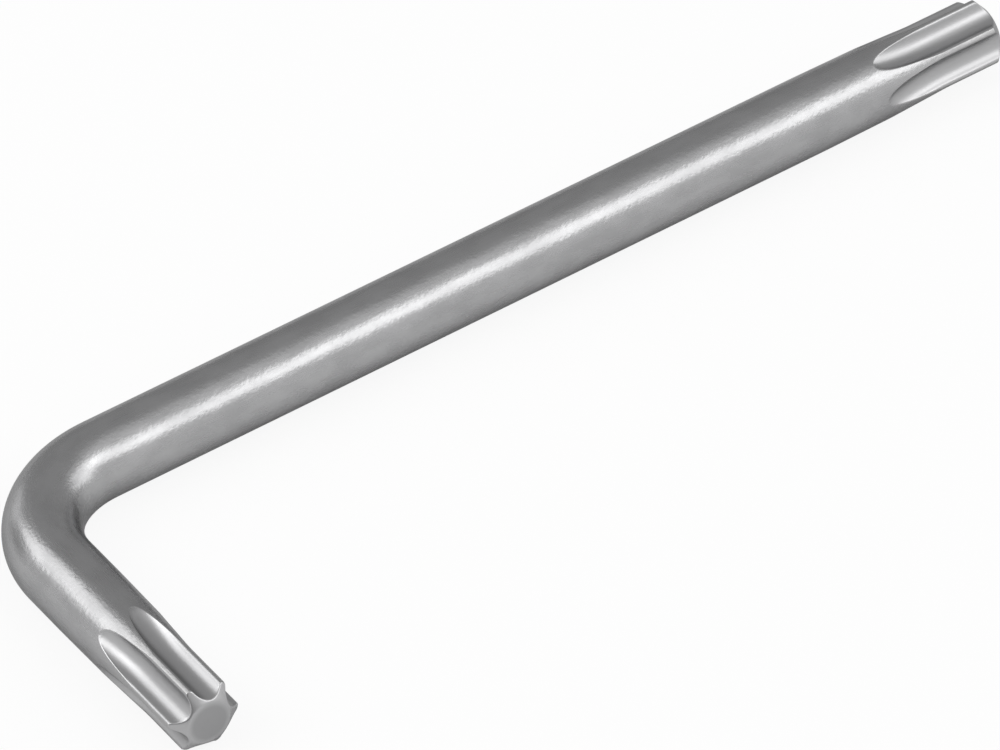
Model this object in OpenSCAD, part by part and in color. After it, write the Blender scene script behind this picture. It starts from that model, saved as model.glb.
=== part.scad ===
// Star key: an L-shaped driver for six-lobe screws, bent from one round bar with a star tip cut on each end.
// It lies flat, with both arms in one level plane: the long arm along +X, the short arm along -Y.
// The origin is under the middle of its box, on the surface that it lies on. Sizes are in millimetres.

/* [Arms] */
// Reach of the long arm, from the outside of the short arm to the end of its tip
long_reach = 105.5; // [80:0.5:160]
// Reach of the short arm, from the outside of the long arm to the end of its tip
short_reach = 37.5; // [36:0.5:70]

/* [Bar] */
// Diameter of the round bar
bar_d = 7; // [6.9:0.1:8]
// Radius of the bend, to the middle of the bar
bend_r = 10; // [6:0.5:14]

/* [Star] */
// Diameter over the crests of the lobes
star_d = 6.75; // [6.4:0.05:6.85]
// Diameter over the bottoms of the flutes
root_d = 4.45; // [4.3:0.05:4.7]
// Radius that rounds the flanks of the lobes
lobe_r = 0.35; // [0.3:0.01:0.5]
// Height that the lobes' rounding loses to the turned surface, which leaves a narrow land along each crest
crest_trim = 0.03; // [0.02:0.01:0.06]
// Length of the flutes at full depth, from the end of the tip
flute_len = 6; // [4:0.5:8]
// Radius of the arc on which a flute rises to the bar's surface
run_out_r = 20; // [12:0.5:30]
// Length that the crests stay parallel past the flutes' full depth
swell_lag = 0.5; // [0.2:0.1:2]
// Length over which the tip swells from the crests' diameter to the bar's
swell_len = 12.5; // [10:0.5:16]

/* [End of the tip] */
// Diameter of the flat end face
end_d = 4.1; // [3.4:0.1:4.2]
// Height of the cone between the end face and the crests
end_cone_h = 1; // [0.5:0.1:2]

/* [Turn of the lobes] */
// Angle of a lobe of the long tip from straight up, counter-clockwise when the tip points at the eye
long_tip_turn = -5.5; // [-30:0.5:30]
// Angle of a lobe of the short tip from straight up, counter-clockwise when the tip points at the eye
short_tip_turn = 18; // [-30:0.5:30]

/* [Hidden] */
$fn = 96;

// How far each cut runs past the surface that it opens
overrun = 0.5;
// How far the flute's circle crosses the lobes' circles, so that their arcs meet at a clear point
flank_cross = 0.0005;
// Angle by which a cutter's outer wall stays short of the crest, so that neighbouring cutters keep apart
wall_turn = 8;

lobe_count = 6;
lobe_step = 360 / lobe_count;
half_step = lobe_step / 2;

bar_r = bar_d / 2;
star_r = star_d / 2;
root_r = root_d / 2;
end_r = end_d / 2;

// Straight lengths of the arms, from the bend to the end of the tip
long_len = long_reach - bar_r - bend_r;
short_len = short_reach - bar_r - bend_r;

// Length of the parallel crests, from the end of the tip
crest_len = flute_len + swell_lag;

// Centre of the bend in the key's level plane
bend_x = bar_r + bend_r - long_reach / 2;
bend_y = short_reach / 2 - bar_r - bend_r;

// Centre of the circle that rounds a lobe, beside a flute that points along +X
lobe_out = star_r + crest_trim - lobe_r;
lobe_x = lobe_out * cos(half_step);
lobe_y = lobe_out * sin(half_step);

// Radius at which the flute's arc runs into the lobes' arcs without a corner, and the centre of that arc
flute_rise = root_r - lobe_x;
flute_r = (pow(flute_rise, 2) + pow(lobe_y, 2) - pow(lobe_r, 2)) / (2 * (lobe_r - flute_rise)) + flank_cross;
flute_x = root_r + flute_r;

// Outer edge of a flute's cutter
wall_x = max(flute_x, bar_r) + overrun;
wall_y = lobe_y + (wall_x - lobe_x) * tan(half_step - wall_turn);

// Axis of the arc on which a flute runs out, and the angle at which it has left the bar
run_out_x = root_r + run_out_r;
run_out_angle = acos((run_out_x - bar_r - overrun) / run_out_r);

// Cross-section that a cutter takes away between two lobes: the flute and the near flank of each lobe
module flute_profile() {
    difference() {
        union() {
            polygon([
                [lobe_x, lobe_y],
                [flute_x, 0],
                [lobe_x, -lobe_y],
                [wall_x, -wall_y],
                [wall_x, wall_y]
            ]);
            translate([flute_x, 0])
                circle(flute_r);
        }
        for (side = [-1, 1])
            translate([lobe_x, side * lobe_y])
                circle(lobe_r);
    }
}

// One flute along -Z from the end of the tip at the origin: full depth first, then rising out of the bar
module flute() {
    translate([0, 0, -flute_len])
        linear_extrude(flute_len + overrun)
            flute_profile();
    translate([run_out_x, 0, -flute_len])
        rotate([-90, 0, 180])
            rotate_extrude(angle = run_out_angle)
                translate([run_out_x, 0])
                    mirror([1, 0])
                        flute_profile();
}

// Turned form of an arm along -Z from the end of its tip at the origin: flat end, cone, crests, swell and bar
module turned_arm(length) {
    rotate_extrude()
        polygon([
            [0, 0],
            [end_r, 0],
            [star_r, -end_cone_h],
            [star_r, -crest_len],
            [bar_r, -crest_len - swell_len],
            [bar_r, -length],
            [0, -length]
        ]);
}

// Straight arm with its star tip, whose end is at the origin and whose lobe points along +X at a turn of 0
module arm(length, turn) {
    difference() {
        turned_arm(length);
        for (i = [0 : lobe_count - 1])
            rotate([0, 0, turn + half_step + i * lobe_step])
                flute();
    }
}

// Quarter turn that joins the arms
module bend() {
    translate([bend_x, bend_y, 0])
        rotate([0, 0, 90])
            rotate_extrude(angle = 90)
                translate([bend_r, 0])
                    circle(bar_r);
}

module star_key() {
    color([0.62, 0.62, 0.63])
        translate([0, 0, bar_r]) {
            bend();
            translate([long_reach / 2, bend_y + bend_r, 0])
                rotate([0, 90, 0])
                    rotate([0, 0, 180])
                        arm(long_len, long_tip_turn);
            translate([bend_x - bend_r, -short_reach / 2, 0])
                rotate([90, 0, 0])
                    rotate([0, 0, 90])
                        arm(short_len, short_tip_turn);
        }
}

star_key();
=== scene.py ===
"""Looks of the star key: its bent steel bar with a star tip on each end, and a white stage.

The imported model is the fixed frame. The key is one bar, in the frame's own place and size: a ring
is extruded from the end of the short tip along the short arm, spun round the bend, and extruded
along the long arm to the end of the long tip.
"""

import math

import bmesh
import bpy
from bpy.props import FloatProperty, FloatVectorProperty, PointerProperty
from mathutils import Matrix, Vector


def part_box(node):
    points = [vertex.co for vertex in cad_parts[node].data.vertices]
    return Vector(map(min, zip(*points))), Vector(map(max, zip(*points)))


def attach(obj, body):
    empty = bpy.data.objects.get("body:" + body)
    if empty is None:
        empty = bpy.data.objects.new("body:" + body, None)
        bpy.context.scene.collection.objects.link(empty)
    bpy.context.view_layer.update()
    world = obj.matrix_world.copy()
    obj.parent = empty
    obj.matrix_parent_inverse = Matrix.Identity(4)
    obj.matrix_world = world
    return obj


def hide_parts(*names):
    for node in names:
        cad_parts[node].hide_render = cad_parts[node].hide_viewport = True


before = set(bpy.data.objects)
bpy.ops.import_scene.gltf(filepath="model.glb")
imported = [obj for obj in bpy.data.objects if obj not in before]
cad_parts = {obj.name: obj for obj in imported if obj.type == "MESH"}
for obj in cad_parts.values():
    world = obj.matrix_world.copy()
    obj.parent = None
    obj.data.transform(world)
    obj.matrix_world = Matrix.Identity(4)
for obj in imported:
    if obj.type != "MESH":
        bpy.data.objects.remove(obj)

bl_info = {
    "name": "Star Key",
    "version": (1, 0, 0),
    "blender": (4, 5, 0),
    "location": "View3D > Sidebar > Star Key",
    "description": "Models a bent star key in satin steel, and a white stage for it",
    "category": "Add Mesh",
}

MM = 0.001
UP = Vector((0, 0, 1))
NODE = "star_key"
BODY = "root"
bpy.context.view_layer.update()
LOW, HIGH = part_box(NODE)

LOBES = 6
PITCH = 2 * math.pi / LOBES

# Columns of a ring, counted across one flute and across the land beside it
FLUTE_COLUMNS = 28
LAND_COLUMNS = 12
PITCH_COLUMNS = FLUTE_COLUMNS + LAND_COLUMNS
COLUMNS = LOBES * PITCH_COLUMNS

# Rings over the end of a tip, as shares of the way from its flat face to a line inside the
# scalloped edge, and how far inside that line lies, in roundings of the edge
END_SHARES = (0, 0.08, 0.2, 0.35, 0.55, 0.78, 1)
END_RINGS = len(END_SHARES)
EDGE_MARGIN = 1.25

# Segments of the rounding on the scalloped edge
EDGE_SEGMENTS = 3

# Rings of a tip from its scalloped edge to an even depth, along the flutes and behind them, and
# the even depth, in heights of the end cone
SCALLOP_RINGS = 6
FLUTE_RINGS = 56
SWELL_RINGS = 12
EVEN_DEPTH = 2

# Greatest distance between the rings of the plain arms, and the rings round the bend
SHANK_STEP = 2 * MM
BEND_RINGS = 40

# Half the angle that a flute's columns cover where it has run out, and on the plain bar
LEAST_SPREAD = math.radians(0.8)
EVEN_SPREAD = PITCH / 2 * FLUTE_COLUMNS / PITCH_COLUMNS

# Halvings of the range in a search
HALVINGS = 40

# Grain of the steel: stretch of the coordinate along the bar, scale, detail, and the values of
# the noise that become 0 and 1
GRAINS = {
    "clouds": (0.5, 600, 3, 0.35, 0.65),
    "waves": (0.7, 700, 1, 0.2, 0.8),
    "pebbles": (0.9, 3000, 1, 0.2, 0.8),
    "lines": (0.05, 5200, 2, 0.3, 0.7),
    "fine": (1, 9000, 1, 0.25, 0.75),
}

# Heights over the crests of the lobes between which the cut steel turns into the bar's own skin
SKIN_FROM = -0.175 * MM
SKIN_TO = 0.025 * MM

# Shares of the clouds, the drawn lines and the cut in what dulls the steel
CLOUDS_DULL = 0.2
LINES_DULL = 0.2
CUT_DULL = 0.6

# Heights of the pebbles, the drawn lines and the fine grain beside that of the waves, and the
# share of the ripple that the cut steel has
PEBBLES_HIGH = 0.65
LINES_HIGH = 0.1
FINE_HIGH = 0.1
CUT_RIPPLE = 0.3

# Soft boxes: azimuth from the front towards the long tip, elevation, half the angles that the box
# fills across and up, all in degrees, and its brightness: watts per square metre, over pi
SOFT_BOXES = {
    "front_box": (32, 43.5, 19, 13, 1.5),
    "side_box": (70, 28, 16, 18, 1.1),
    "rear_box": (-141, 40, 19, 15, 1.4),
    "left_box": (-108, 48, 14, 18, 1.5),
    "low_box": (-168, 12, 9, 10, 0.62),
}

# Azimuth of the room's pale side in degrees, and the cosines from it between which the room grows
# dim
PALE_SIDE = -35
DIM_FROM = -0.05
DIM_TO = -0.44

# Azimuth and elevation of the room's dark end behind the camera in degrees, and the cosines from
# it between which the room grows dark
DARK_END = (-45, 25)
DARK_FROM = 0.65
DARK_TO = 0.95

# Share of plain white in the floor as the camera sees it and as the metal mirrors it
WHITE_SEEN = 0.9
WHITE_MIRRORED = 0.03

# Camera: place from the point where the arms' axes cross, direction back from the key, direction
# of the picture's upward edge, width of the sensor and focal length in millimetres, and reach of
# the view in widths of the floor
EYE = Vector((-267.7, -581.13, 549.72)) * MM
EYE_BACK = Vector((-0.3652, -0.6694, 0.6469))
EYE_UP = Vector((0.4107, 0.5078, 0.7573))
SENSOR = 36
LENS = 9.98 * SENSOR
VIEW_REACH = 10


class KeySizes(bpy.types.PropertyGroup):
    """Sizes of the key that a user would change."""

    bar_diameter: FloatProperty(
        name="Bar Diameter",
        description="Diameter of the round bar",
        default=HIGH.z - LOW.z,
        unit="LENGTH",
    )
    bend_radius: FloatProperty(
        name="Bend Radius",
        description="Radius of the bend, to the middle of the bar",
        default=10 * MM,
        unit="LENGTH",
    )
    star_diameter: FloatProperty(
        name="Star Diameter",
        description="Diameter over the crests of the lobes",
        default=6.75 * MM,
        unit="LENGTH",
    )
    root_diameter: FloatProperty(
        name="Root Diameter",
        description="Diameter over the bottoms of the flutes",
        default=4.45 * MM,
        unit="LENGTH",
    )
    lobe_rounding: FloatProperty(
        name="Lobe Rounding",
        description="Radius that rounds the flanks of the lobes",
        default=0.35 * MM,
        unit="LENGTH",
    )
    crest_trim: FloatProperty(
        name="Crest Trim",
        description="Height that the lobes' rounding loses to the turned surface",
        default=0.03 * MM,
        unit="LENGTH",
    )
    flute_length: FloatProperty(
        name="Flute Length",
        description="Length of the flutes at full depth, from the end of the tip",
        default=6 * MM,
        unit="LENGTH",
    )
    run_out_radius: FloatProperty(
        name="Run-out Radius",
        description="Radius of the arc on which a flute rises to the bar's surface",
        default=20 * MM,
        unit="LENGTH",
    )
    crest_length: FloatProperty(
        name="Crest Length",
        description="Length of the parallel crests, from the end of the tip",
        default=6.5 * MM,
        unit="LENGTH",
    )
    swell_length: FloatProperty(
        name="Swell Length",
        description="Length over which the tip swells from the crests' diameter to the bar's",
        default=12.5 * MM,
        unit="LENGTH",
    )
    end_diameter: FloatProperty(
        name="End Diameter",
        description="Diameter of the flat end face",
        default=4.1 * MM,
        unit="LENGTH",
    )
    end_cone_height: FloatProperty(
        name="End Cone Height",
        description="Height of the cone between the end face and the crests",
        default=1 * MM,
        unit="LENGTH",
    )
    long_tip_turn: FloatProperty(
        name="Long Tip Turn",
        description="Angle of a lobe of the long tip from straight up, towards the bend's inside",
        default=math.radians(-5.5),
        subtype="ANGLE",
    )
    short_tip_turn: FloatProperty(
        name="Short Tip Turn",
        description="Angle of a lobe of the short tip from straight up, towards the bend's inside",
        default=math.radians(-18),
        subtype="ANGLE",
    )
    edge_rounding: FloatProperty(
        name="Edge Rounding",
        description="Width of the rounding on the scalloped edge of the end cone",
        default=0.1 * MM,
        unit="LENGTH",
    )
    face_rounding: FloatProperty(
        name="Face Rounding",
        description="Width of the rounding to both sides of the end face's edge",
        default=0.12 * MM,
        unit="LENGTH",
    )
    # Painted shade on the flat end face fades in over this margin from the face's edge
    face_margin: FloatProperty(
        name="Face Margin",
        description="Width over which the end face grows darker, from its edge",
        default=0.4 * MM,
        unit="LENGTH",
    )


class KeyFinish(bpy.types.PropertyGroup):
    """Colours and surface of the key's steel."""

    steel_colour: FloatVectorProperty(
        name="Steel Colour",
        description="Colour of the satin steel",
        default=(0.43, 0.43, 0.435),
        subtype="COLOR",
        min=0,
        max=1,
    )
    cloud_colour: FloatVectorProperty(
        name="Cloud Colour",
        description="Colour of the faint clouds in the plating",
        default=(0.38, 0.38, 0.385),
        subtype="COLOR",
        min=0,
        max=1,
    )
    cut_colour: FloatVectorProperty(
        name="Cut Colour",
        description="Colour of the steel in the cut flutes and on the end cones",
        default=(0.455, 0.455, 0.46),
        subtype="COLOR",
        min=0,
        max=1,
    )
    worn_colour: FloatVectorProperty(
        name="Worn Colour",
        description="Colour of the steel on the worn crests of the lobes",
        default=(0.47, 0.47, 0.47),
        subtype="COLOR",
        min=0,
        max=1,
    )
    # Painted shade: the flat end faces are painted darker to stand in for the dim reflection they
    # catch; the steel there is no darker
    painted_face_shade_colour: FloatVectorProperty(
        name="Face Colour",
        description="Colour of the darker steel on the flat end faces",
        default=(0.36, 0.36, 0.365),
        subtype="COLOR",
        min=0,
        max=1,
    )
    rim_colour: FloatVectorProperty(
        name="Rim Colour",
        description="Tint of the steel where it is seen at a grazing angle",
        default=(0.57, 0.57, 0.57),
        subtype="COLOR",
        min=0,
        max=1,
    )
    satin: FloatProperty(
        name="Satin",
        description="Roughness of the plating where it is smoothest",
        default=0.235,
        min=0,
        max=1,
        subtype="FACTOR",
    )
    matt: FloatProperty(
        name="Matt",
        description="Roughness of the plating where it is dullest",
        default=0.4,
        min=0,
        max=1,
        subtype="FACTOR",
    )
    ripple: FloatProperty(
        name="Ripple",
        description="Height of the ripple on the bar",
        default=0.015 * MM,
        unit="LENGTH",
    )


class KeyStage(bpy.types.PropertyGroup):
    """The white floor, the room and the soft boxes."""

    floor_width: FloatProperty(
        name="Floor Width",
        description="Width of the square floor",
        default=3,
        unit="LENGTH",
    )
    floor_colour: FloatVectorProperty(
        name="Floor Colour",
        description="Colour of the floor",
        default=(0.87, 0.87, 0.87),
        subtype="COLOR",
        min=0,
        max=1,
    )
    pale_colour: FloatVectorProperty(
        name="Pale Side",
        description="Colour of the room's pale side",
        default=(0.9, 0.9, 0.9),
        subtype="COLOR",
        min=0,
        max=1,
    )
    dim_colour: FloatVectorProperty(
        name="Dim Side",
        description="Colour of the room's dim side",
        default=(0.44, 0.44, 0.44),
        subtype="COLOR",
        min=0,
        max=1,
    )
    dark_colour: FloatVectorProperty(
        name="Dark End",
        description="Colour of the room behind the camera",
        default=(0.2, 0.2, 0.2),
        subtype="COLOR",
        min=0,
        max=1,
    )
    lamp_distance: FloatProperty(
        name="Lamp Distance",
        description="Distance of the soft boxes from the key",
        default=0.9,
        unit="LENGTH",
    )


def blend(low, high, share):
    """Value at a share of the way from one value to another."""
    return low + (high - low) * share


def ease(share):
    """A share from 0 to 1, eased at both ends."""
    return share * share * (3 - 2 * share)


def last_below(measure, limit, low, high):
    """Greatest value between low and high at which a rising measure is still below a limit."""
    for _ in range(HALVINGS):
        middle = (low + high) / 2
        if measure(middle) < limit:
            low = middle
        else:
            high = middle
    return low


class StarForm:
    """Form of a star tip. Depths are from its end, and angles from the middle of a flute."""

    def __init__(self, sizes):
        self.bar = sizes.bar_diameter / 2
        self.crest = sizes.star_diameter / 2
        self.root = sizes.root_diameter / 2
        self.lobe = sizes.lobe_rounding
        self.full_depth = sizes.flute_length
        self.crest_length = sizes.crest_length
        self.swell_length = sizes.swell_length
        self.length = sizes.crest_length + sizes.swell_length
        self.end = sizes.end_diameter / 2
        self.end_height = sizes.end_cone_height
        self.end_rounding = sizes.face_rounding
        self.edge_margin = EDGE_MARGIN * sizes.edge_rounding
        lobe_out = self.crest + sizes.crest_trim - self.lobe
        self.lobe_centre = lobe_out * Vector((math.cos(PITCH / 2), math.sin(PITCH / 2)))
        rise = self.root - self.lobe_centre.x
        # Radius at which a flute's arc touches the root circle and runs smoothly into the lobes
        squares = rise**2 + self.lobe_centre.y**2 - self.lobe**2
        self.flute = squares / (2 * (self.lobe - rise))
        self.flute_centre = Vector((self.root + self.flute, 0))
        to_lobe = self.lobe_centre - self.flute_centre
        self.joint_turn = math.atan2(to_lobe.y, -to_lobe.x)
        self.joint_reach = self.flute * self.joint_turn
        self.crest_reach = self.joint_reach + self.lobe * (self.joint_turn + PITCH / 2)
        self.run_out_axis = self.root + sizes.run_out_radius
        self.close = last_below(self.bottom_height, 0, self.full_depth, self.length)

    def end_depth(self, radius):
        """Depth of the turned end at a radius: flat face, rounded edge and cone."""
        slope = self.end_height / (self.crest - self.end)
        out = radius - self.end
        if out > self.end_rounding:
            return slope * out
        return slope * max(0, out + self.end_rounding) ** 2 / (4 * self.end_rounding)

    def turned_radius(self, depth):
        """Radius of the turned crests, swell and bar at a depth."""
        share = (depth - self.crest_length) / self.swell_length
        return blend(self.crest, self.bar, min(1, max(0, share)))

    def full_section(self, reach):
        """Point of a flute's full-depth section at a reach along it from the flute's middle."""
        if reach <= self.joint_reach:
            turn = reach / self.flute
            return self.flute_centre + self.flute * Vector((-math.cos(turn), math.sin(turn)))
        turn = self.joint_turn - (reach - self.joint_reach) / self.lobe
        return self.lobe_centre + self.lobe * Vector((math.cos(turn), -math.sin(turn)))

    def section(self, reach, depth):
        """Radius and angle of a flute's surface, past its full depth on the arc of its run-out."""
        point = self.full_section(abs(reach))
        past = max(0, depth - self.full_depth)
        height = self.run_out_axis - math.sqrt((self.run_out_axis - point.x) ** 2 - past**2)
        angle = math.atan2(point.y, height)
        return math.hypot(height, point.y), math.copysign(angle, reach)

    def bottom_height(self, depth):
        """Height of a flute's bottom over the turned surface."""
        return self.section(0, depth)[0] - self.turned_radius(depth)

    def mouth(self, depth):
        """Reach at which a flute opens in the turned surface."""
        turned = self.turned_radius(depth)
        return last_below(lambda reach: self.section(reach, depth)[0], turned, 0, self.crest_reach)


def land_angle(place, spread):
    """Angle of a column on the land beside a flute, whose own columns end at the spread."""
    return blend(spread, PITCH - spread, (place - FLUTE_COLUMNS) / LAND_COLUMNS)


def even_ring(depth, radius, spread):
    """A round ring: depth, radius and angle for each column of one pitch."""
    ring = []
    for place in range(PITCH_COLUMNS):
        if place <= FLUTE_COLUMNS:
            angle = spread * (2 * place / FLUTE_COLUMNS - 1)
        else:
            angle = land_angle(place, spread)
        ring.append((depth, radius, angle))
    return ring


def fluted_ring(form, depth):
    """A ring across the flutes: depth, radius and angle for each column of one pitch."""
    turned = form.turned_radius(depth)
    mouth = max(form.mouth(depth), LEAST_SPREAD * turned)
    spread = form.section(mouth, depth)[1]
    ring = []
    for place in range(PITCH_COLUMNS):
        if place <= FLUTE_COLUMNS:
            radius, angle = form.section(mouth * (2 * place / FLUTE_COLUMNS - 1), depth)
            ring.append((depth, min(radius, turned), angle))
        else:
            ring.append((depth, turned, land_angle(place, spread)))
    return ring


def round_place(radius, angle):
    """Place of a point in a cross-section."""
    return Vector((radius * math.cos(angle), radius * math.sin(angle)))


def inner_star(star, margin):
    """Places of a star ring's columns, moved into the bar by a margin."""
    edge = [round_place(radius, angle) for _, radius, angle in star]
    next_pitch = Matrix.Rotation(PITCH, 2)
    edge = [next_pitch.inverted() @ edge[-1], *edge, next_pitch @ edge[0]]
    moved = []
    for before, place, after in zip(edge, edge[1:], edge[2:]):
        along = ((place - before).normalized() + (after - place).normalized()).normalized()
        moved.append(place + margin * Vector((-along.y, along.x)))
    near, far = moved[FLUTE_COLUMNS], next_pitch @ moved[0]
    for i in range(1, LAND_COLUMNS):
        moved[FLUTE_COLUMNS + i] = near.lerp(far, i / LAND_COLUMNS)
    return moved


def end_rings(form, star):
    """Rings over the end of a tip, from its flat face to a line inside its scalloped edge."""
    flat = form.end - form.end_rounding
    inner = inner_star(star, form.edge_margin)
    rings = []
    for share in END_SHARES:
        ring = []
        for (_, _, angle), inside in zip(star, inner):
            place = round_place(flat, angle).lerp(inside, share)
            ring.append((form.end_depth(place.length), place.length, math.atan2(place.y, place.x)))
        rings.append(ring)
    return rings


def tip_rings(form):
    """Rings of a tip from its end to the plain bar."""
    star = fluted_ring(form, 0)
    rings = end_rings(form, star)
    scallop = [(form.end_depth(radius), radius, angle) for _, radius, angle in star]
    rings.append(scallop)
    even_depth = EVEN_DEPTH * form.end_height
    for i in range(1, SCALLOP_RINGS + 1):
        share = i / SCALLOP_RINGS
        rings.append(
            [(blend(depth, even_depth, share), radius, angle) for depth, radius, angle in scallop]
        )
    for i in range(1, FLUTE_RINGS + 1):
        depth = blend(even_depth, form.close, math.sin(i / FLUTE_RINGS * math.pi / 2))
        rings.append(fluted_ring(form, depth))
    for i in range(1, SWELL_RINGS + 1):
        share = i / SWELL_RINGS
        depth = blend(form.close, form.length, share**2)
        spread = blend(LEAST_SPREAD, EVEN_SPREAD, ease(share))
        rings.append(even_ring(depth, form.turned_radius(depth), spread))
    return rings


class Arm:
    """A straight arm of the key, from the end of its tip to the bend."""

    def __init__(self, end, along, inward, length):
        self.end = end
        self.along = Vector(along)
        self.inward = Vector(inward)
        self.length = length

    def point(self, depth, radius, around):
        """Point at a depth, a radius, and an angle from straight up towards the bend's inside."""
        across = math.cos(around) * UP + math.sin(around) * self.inward
        return self.end + depth * self.along + radius * across


class KeyLine:
    """Line of the bar through the key: the short arm, the bend and the long arm."""

    def __init__(self, sizes):
        bar = sizes.bar_diameter / 2
        self.bend = sizes.bend_radius
        self.centre = Vector((LOW.x + bar + self.bend, HIGH.y - bar - self.bend, LOW.z + bar))
        x, y, z = self.centre
        short_end = Vector((x - self.bend, LOW.y, z))
        self.short = Arm(short_end, (0, 1, 0), (1, 0, 0), y - LOW.y)
        long_end = Vector((HIGH.x, y + self.bend, z))
        self.long = Arm(long_end, (-1, 0, 0), (0, -1, 0), HIGH.x - x)

    def straightened(self, point):
        """Place of a point on the straight bar: up, inward, and along from the short tip's end."""
        x, y, up = point - self.centre
        if y < 0:
            return up, self.bend + x, self.short.length + y
        arc = self.bend * math.pi / 2
        if x > 0:
            return up, self.bend - y, self.short.length + arc + x
        along = self.short.length + self.bend * math.atan2(y, -x)
        return up, self.bend - math.hypot(x, y), along


class BarModel:
    """The bar's mesh while it grows ring by ring."""

    def __init__(self, bm):
        self.bm = bm
        self.column = bm.verts.layers.int.new("column")
        self.drawn = bm.verts.layers.float_vector.new("drawn")
        self.worn = bm.verts.layers.float.new("worn")
        # Share of painted shade on the flat end faces
        self.painted_face_shade = bm.verts.layers.float.new("painted_face_shade")
        circle = bmesh.ops.create_circle(bm, cap_ends=False, segments=COLUMNS, radius=MM)
        for i, vert in enumerate(circle["verts"]):
            vert[self.column] = i
        self.ring = bm.edges[:]
        self.fresh = True

    def ring_verts(self):
        """Vertices of the open ring, each once."""
        return list(dict.fromkeys(vert for edge in self.ring for vert in edge.verts))

    def place_ring(self, arm, turn, ring, wear=0):
        """Extrudes the open ring, puts it in place, alike for all lobes, and wears its lands."""
        if self.fresh:
            self.fresh = False
        else:
            self.keep(bmesh.ops.extrude_edge_only(self.bm, edges=self.ring)["geom"])
        for vert in self.ring_verts():
            lobe, place = divmod(vert[self.column], PITCH_COLUMNS)
            depth, radius, angle = ring[place]
            vert.co = arm.point(depth, radius, turn + PITCH * (lobe + 0.5) + angle)
            vert[self.worn] = wear if place == 0 or place >= FLUTE_COLUMNS else 0

    def keep(self, geom):
        """Takes the new ring out of what an operator has made."""
        verts = {part for part in geom if isinstance(part, bmesh.types.BMVert)}
        edges = [part for part in geom if isinstance(part, bmesh.types.BMEdge)]
        self.ring = [edge for edge in edges if verts.issuperset(edge.verts)]

    def spin(self, centre, steps):
        """Spins the open ring a quarter turn to the right."""
        made = bmesh.ops.spin(
            self.bm,
            geom=self.ring + self.ring_verts(),
            cent=centre,
            axis=-UP,
            angle=math.pi / 2,
            steps=steps,
            use_merge=False,
        )
        self.keep(made["geom_last"])


def shank_depths(near, far):
    """Depths of the rings on a plain stretch of an arm, past its near end and up to its far end."""
    steps = math.ceil((far - near) / SHANK_STEP)
    return [blend(near, far, (i + 1) / steps) for i in range(steps)]


def grow_bar(model, sizes, form, line):
    """Grows the bar from the short tip to the long one, and returns both ends' scalloped edges."""
    tip = tip_rings(form)
    wear = [max(0, 1 - ring[FLUTE_COLUMNS][0] / form.close) for ring in tip]
    wear[:END_RINGS] = [0] * END_RINGS
    scalloped = []
    for i, ring in enumerate(tip):
        model.place_ring(line.short, sizes.short_tip_turn, ring, wear[i])
        if i == END_RINGS:
            scalloped += model.ring
    for depth in shank_depths(form.length, line.short.length):
        ring = even_ring(depth, form.bar, EVEN_SPREAD)
        model.place_ring(line.short, sizes.short_tip_turn, ring)
    model.spin(line.centre, BEND_RINGS)
    depths = shank_depths(form.length, line.long.length)
    for i in reversed(range(len(depths) - 1)):
        turn = blend(sizes.long_tip_turn, sizes.short_tip_turn, (i + 1) / len(depths))
        model.place_ring(line.long, turn, even_ring(depths[i], form.bar, EVEN_SPREAD))
    for i in reversed(range(len(tip))):
        model.place_ring(line.long, sizes.long_tip_turn, tip[i], wear[i])
        if i == END_RINGS:
            scalloped += model.ring
    return scalloped


def add_node(tree, kind, inputs=None, **settings):
    """Adds a node with its settings, and sets or links the inputs given by name or number."""
    node = tree.nodes.new(kind)
    for name, value in settings.items():
        setattr(node, name, value)
    for name, value in (inputs or {}).items():
        if isinstance(value, bpy.types.NodeSocket):
            tree.links.new(value, node.inputs[name])
        else:
            node.inputs[name].default_value = value
    return node


def scaled_sum(tree, value, scale, rest=0):
    """Output of a Math node: a value times a scale, plus the rest."""
    inputs = {0: value, 1: scale, 2: rest}
    return add_node(tree, "ShaderNodeMath", inputs, operation="MULTIPLY_ADD").outputs[0]


def colour_mix(tree, share, low, high):
    """Output of a Mix node between two colours."""
    inputs = {0: share, 6: low, 7: high}
    return add_node(tree, "ShaderNodeMix", inputs, data_type="RGBA").outputs[2]


def new_range(tree, value, limits, kind="LINEAR"):
    """Output of a Map Range node: a value moved from one range to another."""
    inputs = {"Value": value, **limits}
    return add_node(tree, "ShaderNodeMapRange", inputs, interpolation_type=kind).outputs[0]


def vector_math(tree, operation, output, *vectors):
    """Output of a Vector Math node."""
    node = add_node(tree, "ShaderNodeVectorMath", dict(enumerate(vectors)), operation=operation)
    return node.outputs[output]


def grain(tree, place, along, scale, detail, low, high):
    """Noise on the drawn bar from 0 to 1, stretched along it, with its middle range spread out."""
    stretch = {"Vector": place, "Scale": (1, 1, along)}
    drawn = add_node(tree, "ShaderNodeMapping", stretch).outputs[0]
    inputs = {"Vector": drawn, "Scale": scale, "Detail": detail}
    noise = add_node(tree, "ShaderNodeTexNoise", inputs).outputs[0]
    return new_range(tree, noise, {"From Min": low, "From Max": high})


def skin_share(tree, place, crest):
    """Share from 0 to 1 of the bar's own skin, which is 0 on the steel that is cut."""
    across = vector_math(tree, "MULTIPLY", "Vector", place, (1, 1, 0))
    radius = vector_math(tree, "LENGTH", "Value", across)
    limits = {"From Min": crest + SKIN_FROM, "From Max": crest + SKIN_TO}
    return new_range(tree, radius, limits)


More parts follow.
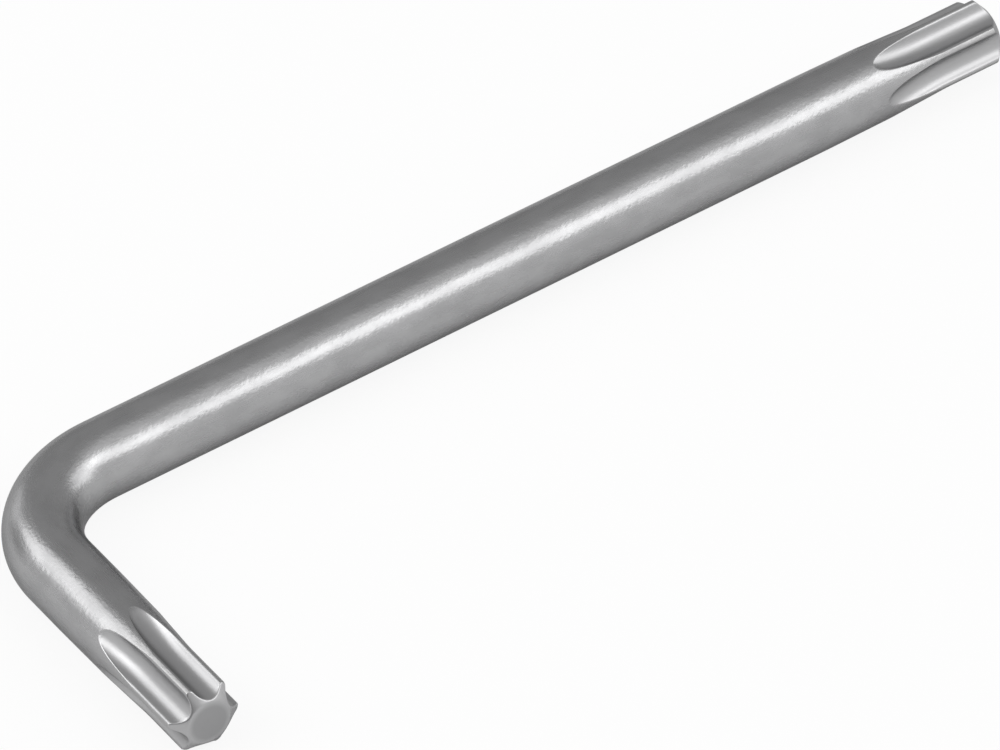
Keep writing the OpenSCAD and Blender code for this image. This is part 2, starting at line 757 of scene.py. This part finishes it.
def satin_steel(finish, crest):
    """Satin plated steel: clouds, drawn lines and ripple, worn crests, cut flutes, and painted
    shade on the end faces.
    """
    material = bpy.data.materials.new("satin_steel")
    material.use_nodes = True
    tree = material.node_tree
    shader = tree.nodes["Principled BSDF"]
    shader.inputs["Metallic"].default_value = 1
    shader.inputs["Specular Tint"].default_value = (*finish.rim_colour, 1)
    drawn = add_node(tree, "ShaderNodeAttribute", attribute_name="drawn").outputs["Vector"]
    worn = add_node(tree, "ShaderNodeAttribute", attribute_name="worn").outputs["Fac"]
    painted_face_shade = add_node(tree, "ShaderNodeAttribute", attribute_name="painted_face_shade").outputs["Fac"]
    grains = {name: grain(tree, drawn, *settings) for name, settings in GRAINS.items()}
    skin = skin_share(tree, drawn, crest)

    steel = (*finish.steel_colour, 1)
    colour = colour_mix(tree, grains["clouds"], steel, (*finish.cloud_colour, 1))
    colour = colour_mix(tree, skin, (*finish.cut_colour, 1), colour)
    colour = colour_mix(tree, worn, colour, (*finish.worn_colour, 1))
    # Painted shade: the end faces are darkened to stand in for their dim reflection
    colour = colour_mix(tree, painted_face_shade, colour, (*finish.painted_face_shade_colour, 1))
    tree.links.new(colour, shader.inputs["Base Color"])

    dull = scaled_sum(tree, skin, -CUT_DULL, CUT_DULL)
    dull = scaled_sum(tree, grains["lines"], LINES_DULL, dull)
    dull = scaled_sum(tree, grains["clouds"], CLOUDS_DULL, dull)
    roughness = new_range(tree, dull, {"To Min": finish.satin, "To Max": finish.matt})
    tree.links.new(roughness, shader.inputs["Roughness"])

    height = scaled_sum(tree, grains["pebbles"], PEBBLES_HIGH, grains["waves"])
    height = scaled_sum(tree, grains["fine"], FINE_HIGH, height)
    height = scaled_sum(tree, grains["lines"], LINES_HIGH, height)
    strength = scaled_sum(tree, skin, 1 - CUT_RIPPLE, CUT_RIPPLE)
    inputs = {"Height": height, "Strength": strength, "Distance": finish.ripple}
    bump = add_node(tree, "ShaderNodeBump", inputs).outputs[0]
    tree.links.new(bump, shader.inputs["Normal"])
    return material


class STAR_KEY_OT_add_key(bpy.types.Operator):
    """Models the bent key with its two star tips"""

    bl_idname = "star_key.add_key"
    bl_label = "Add Key"

    def execute(self, context):
        sizes = context.scene.star_key_sizes
        form = StarForm(sizes)
        line = KeyLine(sizes)
        bm = bmesh.new()
        model = BarModel(bm)
        scalloped = grow_bar(model, sizes, form, line)
        caps = bmesh.ops.holes_fill(bm, edges=bm.edges[:], sides=0)["faces"]
        bmesh.ops.recalc_face_normals(bm, faces=bm.faces[:])
        bmesh.ops.inset_region(bm, faces=caps, thickness=sizes.face_margin)
        # Marks the flat end faces inside the inset for their painted shade, which fades out over
        # the margin
        for face in caps:
            for vert in face.verts:
                vert[model.painted_face_shade] = 1
        bmesh.ops.bevel(
            bm,
            geom=scalloped,
            offset=sizes.edge_rounding,
            segments=EDGE_SEGMENTS,
            profile=0.5,
            affect="EDGES",
            material=-1,
            loop_slide=True,
        )
        for vert in bm.verts:
            vert[model.drawn] = line.straightened(vert.co)
        for face in bm.faces:
            face.smooth = True
        bm.verts.layers.int.remove(model.column)
        mesh = bpy.data.meshes.new("bent_key")
        bm.to_mesh(mesh)
        bm.free()
        mesh.materials.append(satin_steel(context.scene.star_key_finish, form.crest))
        key = bpy.data.objects.new("bent_key", mesh)
        context.scene.collection.objects.link(key)
        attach(key, BODY)
        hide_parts(NODE)
        return {"FINISHED"}


def towards(azimuth, elevation):
    """Direction at an azimuth from the front and an elevation, in degrees."""
    side, rise = math.radians(azimuth), math.radians(elevation)
    out, up = math.cos(rise), math.sin(rise)
    return Vector((out * math.sin(side), -out * math.cos(side), up))


def aim(thing, place, back, up):
    """Puts an object in its place and turns it so that it looks along the opposite of back."""
    z = back.normalized()
    x = up.cross(z).normalized()
    turned = Matrix((x, z.cross(x), z)).transposed().to_4x4()
    thing.matrix_world = Matrix.Translation(place) @ turned


def white_floor(stage):
    """Pale floor that the camera sees nearly white, with the key's shadow on it."""
    material = bpy.data.materials.new("white_floor")
    material.use_nodes = True
    tree = material.node_tree
    paint = tree.nodes["Principled BSDF"]
    paint.inputs["Base Color"].default_value = (*stage.floor_colour, 1)
    paint.inputs["Roughness"].default_value = 1
    paint.inputs["Specular IOR Level"].default_value = 0
    ray = add_node(tree, "ShaderNodeLightPath").outputs
    mirrored = scaled_sum(tree, ray["Is Glossy Ray"], 1, ray["Is Transmission Ray"])
    white = scaled_sum(tree, mirrored, WHITE_MIRRORED)
    white = scaled_sum(tree, ray["Is Camera Ray"], WHITE_SEEN, white)
    glow = add_node(tree, "ShaderNodeEmission", {"Color": (1, 1, 1, 1), "Strength": 1}).outputs[0]
    shaders = {0: white, 1: paint.outputs[0], 2: glow}
    mix = add_node(tree, "ShaderNodeMixShader", shaders).outputs[0]
    tree.links.new(mix, tree.nodes["Material Output"].inputs["Surface"])
    return material


def nearness(tree, way, direction, start, full):
    """Share from 0 to 1 of a room's side, by the cosine between a way and the side's direction."""
    facing = vector_math(tree, "DOT_PRODUCT", "Value", way, direction)
    return new_range(tree, facing, {"From Min": start, "From Max": full}, "SMOOTHSTEP")


def graded_room(stage):
    """Room with a pale side, a dim side and a dark end behind the camera."""
    world = bpy.data.worlds.new("room")
    world.use_nodes = True
    tree = world.node_tree
    way = add_node(tree, "ShaderNodeTexCoord").outputs["Generated"]
    pale = nearness(tree, way, towards(PALE_SIDE, 0), DIM_TO, DIM_FROM)
    dark = nearness(tree, way, towards(*DARK_END), DARK_FROM, DARK_TO)
    sides = colour_mix(tree, pale, (*stage.dim_colour, 1), (*stage.pale_colour, 1))
    room = colour_mix(tree, dark, sides, (*stage.dark_colour, 1))
    tree.links.new(room, tree.nodes["Background"].inputs["Color"])
    return world


def add_floor(scene, stage):
    """Adds the square white floor under the key."""
    bm = bmesh.new()
    bmesh.ops.create_grid(bm, x_segments=1, y_segments=1, size=stage.floor_width / 2)
    mesh = bpy.data.meshes.new("floor")
    bm.to_mesh(mesh)
    bm.free()
    mesh.materials.append(white_floor(stage))
    floor = bpy.data.objects.new("floor", mesh)
    scene.collection.objects.link(floor)


def add_soft_box(scene, name, distance, settings):
    """Adds a soft box that faces the key from a distance."""
    azimuth, elevation, half_width, half_height, brightness = settings
    lamp = bpy.data.lights.new(name, "AREA")
    lamp.shape = "RECTANGLE"
    lamp.size = 2 * distance * math.tan(math.radians(half_width))
    lamp.size_y = 2 * distance * math.tan(math.radians(half_height))
    lamp.energy = brightness * math.pi * lamp.size * lamp.size_y
    box = bpy.data.objects.new(name, lamp)
    scene.collection.objects.link(box)
    way = towards(azimuth, elevation)
    aim(box, way * distance, way, UP)


def add_camera(scene, place, reach):
    """Adds the camera at a place, with the reach of its view."""
    camera = bpy.data.cameras.new("camera")
    camera.sensor_width = SENSOR
    camera.lens = LENS
    camera.clip_end = reach
    eye = bpy.data.objects.new("camera", camera)
    scene.collection.objects.link(eye)
    aim(eye, place, EYE_BACK, EYE_UP)
    scene.camera = eye


class STAR_KEY_OT_add_stage(bpy.types.Operator):
    """Makes the floor, the room, the soft boxes and the camera"""

    bl_idname = "star_key.add_stage"
    bl_label = "Add Stage"

    def execute(self, context):
        scene = context.scene
        stage = scene.star_key_stage
        bar = scene.star_key_sizes.bar_diameter / 2
        corner = Vector((LOW.x + bar, HIGH.y - bar, LOW.z + bar))
        add_floor(scene, stage)
        scene.world = graded_room(stage)
        for name, settings in SOFT_BOXES.items():
            add_soft_box(scene, name, stage.lamp_distance, settings)
        add_camera(scene, corner + EYE, VIEW_REACH * stage.floor_width)
        scene.view_settings.view_transform = "Standard"
        return {"FINISHED"}


class STAR_KEY_PT_panel(bpy.types.Panel):
    """Lists the steps that make the key and its stage"""

    bl_idname = "STAR_KEY_PT_panel"
    bl_label = "Star Key"
    bl_space_type = "VIEW_3D"
    bl_region_type = "UI"
    bl_category = "Star Key"

    def draw(self, context):
        self.layout.operator(STAR_KEY_OT_add_key.bl_idname)
        self.layout.operator(STAR_KEY_OT_add_stage.bl_idname)


CLASSES = (
    KeySizes,
    KeyFinish,
    KeyStage,
    STAR_KEY_OT_add_key,
    STAR_KEY_OT_add_stage,
    STAR_KEY_PT_panel,
)


def register():
    for made in CLASSES:
        bpy.utils.register_class(made)
    bpy.types.Scene.star_key_sizes = PointerProperty(type=KeySizes)
    bpy.types.Scene.star_key_finish = PointerProperty(type=KeyFinish)
    bpy.types.Scene.star_key_stage = PointerProperty(type=KeyStage)


def unregister():
    del bpy.types.Scene.star_key_stage
    del bpy.types.Scene.star_key_finish
    del bpy.types.Scene.star_key_sizes
    for made in reversed(CLASSES):
        bpy.utils.unregister_class(made)


def main():
    register()
    bpy.ops.star_key.add_key()
    bpy.ops.star_key.add_stage()


if __name__ == "__main__":
    main()
